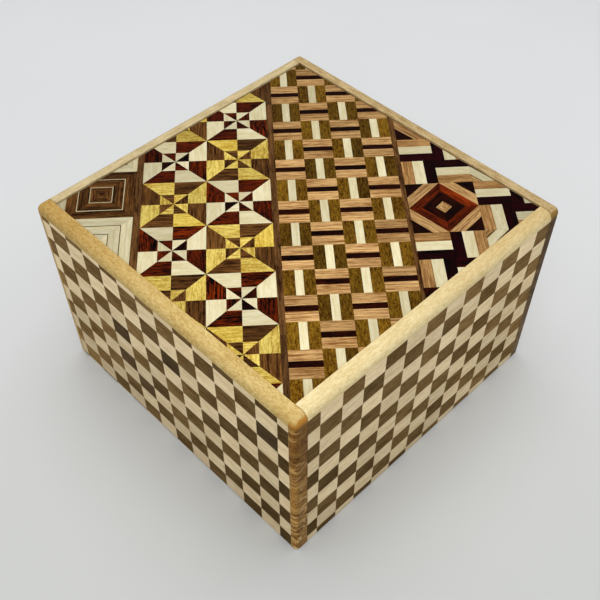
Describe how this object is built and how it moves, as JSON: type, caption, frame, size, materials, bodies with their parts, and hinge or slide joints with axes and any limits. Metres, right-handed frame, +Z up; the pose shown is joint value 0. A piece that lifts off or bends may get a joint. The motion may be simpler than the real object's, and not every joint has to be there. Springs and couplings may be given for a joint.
{
  "type": "wooden puzzle box",
  "caption": "Square wooden secret box with marquetry veneer, two end panels that drop on dovetail keys and an inset lid.",
  "frame": {"origin": "centre of the base, on the surface that the box stands on", "axes": "+Z up through the lid; +X through the right end panel; -Y through the front board"},
  "size_m": [0.1058, 0.1054, 0.0662],
  "materials": {
    "board_wood": "satin lacquer",
    "end_panel_wood": "satin lacquer",
    "inner_wood": "planed, unfinished",
    "peg_wood": "unfinished",
    "key_wood": "waxed",
    "checker_veneer": "satin lacquer",
    "mosaic_veneer": "satin lacquer"
  },
  "bodies": {
    "box": {"front_board": "board_wood", "back_board": "board_wood", "base_panel": "inner_wood", "inner_front_wall": "inner_wood", "inner_back_wall": "inner_wood", "inner_left_wall": "inner_wood", "inner_right_wall": "inner_wood", "compartment_floor": "inner_wood", "front_wall_pegs": "peg_wood", "back_wall_pegs": "peg_wood", "front_veneer": "checker_veneer", "back_veneer": "checker_veneer", "base_veneer": "checker_veneer"},
    "right_panel": {"right_end_panel": "end_panel_wood", "right_end_veneer": "checker_veneer", "right_panel_key": "key_wood"},
    "left_panel": {"left_end_panel": "end_panel_wood", "left_end_veneer": "checker_veneer", "left_panel_key": "key_wood"},
    "lid": {"lid_panel": "inner_wood", "lid_veneer": "mosaic_veneer"}
  },
  "joints": [
    {"name": "right_panel_drop", "type": "slide", "parent": "box", "child": "right_panel", "axis": [0, 0, -1], "range_m": [0, 0.0048]},
    {"name": "left_panel_drop", "type": "slide", "parent": "box", "child": "left_panel", "axis": [0, 0, -1], "range_m": [0, 0.0048]},
    {"name": "lid_lift", "type": "slide", "parent": "box", "child": "lid", "axis": [0, 0, 1], "range_m": [0, 0.06]}
  ]
}
